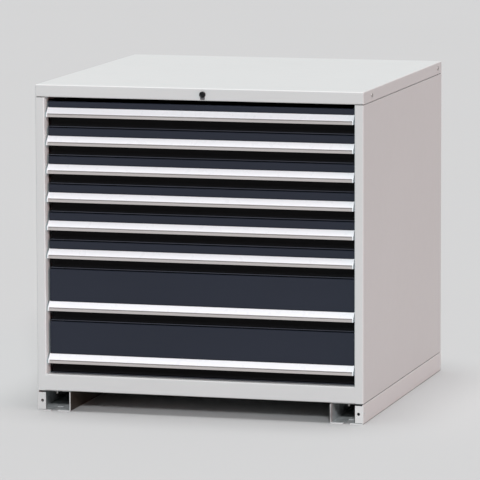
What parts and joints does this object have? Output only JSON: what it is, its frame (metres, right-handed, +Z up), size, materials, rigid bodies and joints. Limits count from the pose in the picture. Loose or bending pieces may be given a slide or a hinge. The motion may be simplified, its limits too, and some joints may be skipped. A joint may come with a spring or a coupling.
{
  "type": "drawer cabinet",
  "caption": "Square sheet-steel drawer cabinet on two channel skids, with shallow drawers above deeper ones, full-width pull rails with label strips, telescopic slides and one key lock.",
  "frame": {"origin": "on the floor, under the middle of the cabinet's outline", "axes": "+Z up, the drawers open towards -Y, +X to the right seen from the front"},
  "size_m": [0.7218, 0.7325, 0.7],
  "materials": {
    "casing_paint": "satin powder coat, light grey",
    "front_paint": "satin powder coat, anthracite blue-grey",
    "tray_paint": "satin powder coat, near black",
    "handle_aluminium": "satin anodised",
    "label_plastic": "clear-covered white strip",
    "slide_steel": "zinc-plated, rolled",
    "zinc_plate": "zinc-plated",
    "lock_black": "gloss black",
    "lock_steel": "dark nickel"
  },
  "bodies": {
    "casing": {"top_cover": "casing_paint", "side_panel_left": "casing_paint", "side_panel_right": "casing_paint", "back_panel": "casing_paint", "bottom_panel": "casing_paint", "front_top_rail": "casing_paint", "front_bottom_rail": "casing_paint", "skid_left": "casing_paint", "skid_right": "casing_paint", "skid_bolts": "zinc_plate", "lid_screws": "zinc_plate", "back_screws": "zinc_plate", "lock_nut": "zinc_plate", "fixed_slides_left": "slide_steel", "fixed_slides_right": "slide_steel", "lock_housing": "lock_black"},
    "lock_core": {"lock_cylinder": "lock_steel", "lock_cam": "zinc_plate"},
    "locking_frame": {"locking_crossbar": "zinc_plate", "locking_bar": "zinc_plate"},
    "drawer_1": {"drawer_1_tray": "tray_paint", "drawer_1_front": "front_paint", "drawer_1_handle": "handle_aluminium", "drawer_1_label_strip": "label_plastic"},
    "drawer_1_slides": {"drawer_1_carriages": "slide_steel"},
    "drawer_2": {"drawer_2_tray": "tray_paint", "drawer_2_front": "front_paint", "drawer_2_handle": "handle_aluminium", "drawer_2_label_strip": "label_plastic"},
    "drawer_2_slides": {"drawer_2_carriages": "slide_steel"},
    "drawer_3": {"drawer_3_tray": "tray_paint", "drawer_3_front": "front_paint", "drawer_3_handle": "handle_aluminium", "drawer_3_label_strip": "label_plastic"},
    "drawer_3_slides": {"drawer_3_carriages": "slide_steel"},
    "drawer_4": {"drawer_4_tray": "tray_paint", "drawer_4_front": "front_paint", "drawer_4_handle": "handle_aluminium", "drawer_4_label_strip": "label_plastic"},
    "drawer_4_slides": {"drawer_4_carriages": "slide_steel"},
    "drawer_5": {"drawer_5_tray": "tray_paint", "drawer_5_front": "front_paint", "drawer_5_handle": "handle_aluminium", "drawer_5_label_strip": "label_plastic"},
    "drawer_5_slides": {"drawer_5_carriages": "slide_steel"},
    "drawer_6": {"drawer_6_tray": "tray_paint", "drawer_6_front": "front_paint", "drawer_6_handle": "handle_aluminium", "drawer_6_label_strip": "label_plastic"},
    "drawer_6_slides": {"drawer_6_carriages": "slide_steel"},
    "drawer_7": {"drawer_7_tray": "tray_paint", "drawer_7_front": "front_paint", "drawer_7_handle": "handle_aluminium", "drawer_7_label_strip": "label_plastic"},
    "drawer_7_slides": {"drawer_7_carriages": "slide_steel"},
    "drawer_8": {"drawer_8_tray": "tray_paint", "drawer_8_front": "front_paint", "drawer_8_handle": "handle_aluminium", "drawer_8_label_strip": "label_plastic"},
    "drawer_8_slides": {"drawer_8_carriages": "slide_steel"}
  },
  "joints": [
    {"name": "lock_turn", "type": "hinge", "parent": "casing", "child": "lock_core", "pos_m": [0.011, -0.3625, 0.687], "axis": [0, 1, 0], "range_deg": [0, 90]},
    {"name": "locking_frame_drop", "type": "slide", "parent": "casing", "child": "locking_frame", "axis": [0, 0, -1], "range_m": [0, 0.006]},
    {"name": "drawer_1_travel", "type": "slide", "parent": "casing", "child": "drawer_1", "axis": [0, -1, 0], "range_m": [0, 0.6]},
    {"name": "drawer_1_carriage_travel", "type": "slide", "parent": "casing", "child": "drawer_1_slides", "axis": [0, -1, 0], "range_m": [0, 0.3]},
    {"name": "drawer_2_travel", "type": "slide", "parent": "casing", "child": "drawer_2", "axis": [0, -1, 0], "range_m": [0, 0.6]},
    {"name": "drawer_2_carriage_travel", "type": "slide", "parent": "casing", "child": "drawer_2_slides", "axis": [0, -1, 0], "range_m": [0, 0.3]},
    {"name": "drawer_3_travel", "type": "slide", "parent": "casing", "child": "drawer_3", "axis": [0, -1, 0], "range_m": [0, 0.6]},
    {"name": "drawer_3_carriage_travel", "type": "slide", "parent": "casing", "child": "drawer_3_slides", "axis": [0, -1, 0], "range_m": [0, 0.3]},
    {"name": "drawer_4_travel", "type": "slide", "parent": "casing", "child": "drawer_4", "axis": [0, -1, 0], "range_m": [0, 0.6]},
    {"name": "drawer_4_carriage_travel", "type": "slide", "parent": "casing", "child": "drawer_4_slides", "axis": [0, -1, 0], "range_m": [0, 0.3]},
    {"name": "drawer_5_travel", "type": "slide", "parent": "casing", "child": "drawer_5", "axis": [0, -1, 0], "range_m": [0, 0.6]},
    {"name": "drawer_5_carriage_travel", "type": "slide", "parent": "casing", "child": "drawer_5_slides", "axis": [0, -1, 0], "range_m": [0, 0.3]},
    {"name": "drawer_6_travel", "type": "slide", "parent": "casing", "child": "drawer_6", "axis": [0, -1, 0], "range_m": [0, 0.6]},
    {"name": "drawer_6_carriage_travel", "type": "slide", "parent": "casing", "child": "drawer_6_slides", "axis": [0, -1, 0], "range_m": [0, 0.3]},
    {"name": "drawer_7_travel", "type": "slide", "parent": "casing", "child": "drawer_7", "axis": [0, -1, 0], "range_m": [0, 0.6]},
    {"name": "drawer_7_carriage_travel", "type": "slide", "parent": "casing", "child": "drawer_7_slides", "axis": [0, -1, 0], "range_m": [0, 0.3]},
    {"name": "drawer_8_travel", "type": "slide", "parent": "casing", "child": "drawer_8", "axis": [0, -1, 0], "range_m": [0, 0.6]},
    {"name": "drawer_8_carriage_travel", "type": "slide", "parent": "casing", "child": "drawer_8_slides", "axis": [0, -1, 0], "range_m": [0, 0.3]}
  ],
  "couplings": [
    {"joint": "lock_turn", "follows": "locking_frame_drop", "rad_per_m": 261.77},
    {"joint": "drawer_1_carriage_travel", "follows": "drawer_1_travel", "ratio": 0.5},
    {"joint": "drawer_2_carriage_travel", "follows": "drawer_2_travel", "ratio": 0.5},
    {"joint": "drawer_3_carriage_travel", "follows": "drawer_3_travel", "ratio": 0.5},
    {"joint": "drawer_4_carriage_travel", "follows": "drawer_4_travel", "ratio": 0.5},
    {"joint": "drawer_5_carriage_travel", "follows": "drawer_5_travel", "ratio": 0.5},
    {"joint": "drawer_6_carriage_travel", "follows": "drawer_6_travel", "ratio": 0.5},
    {"joint": "drawer_7_carriage_travel", "follows": "drawer_7_travel", "ratio": 0.5},
    {"joint": "drawer_8_carriage_travel", "follows": "drawer_8_travel", "ratio": 0.5}
  ]
}
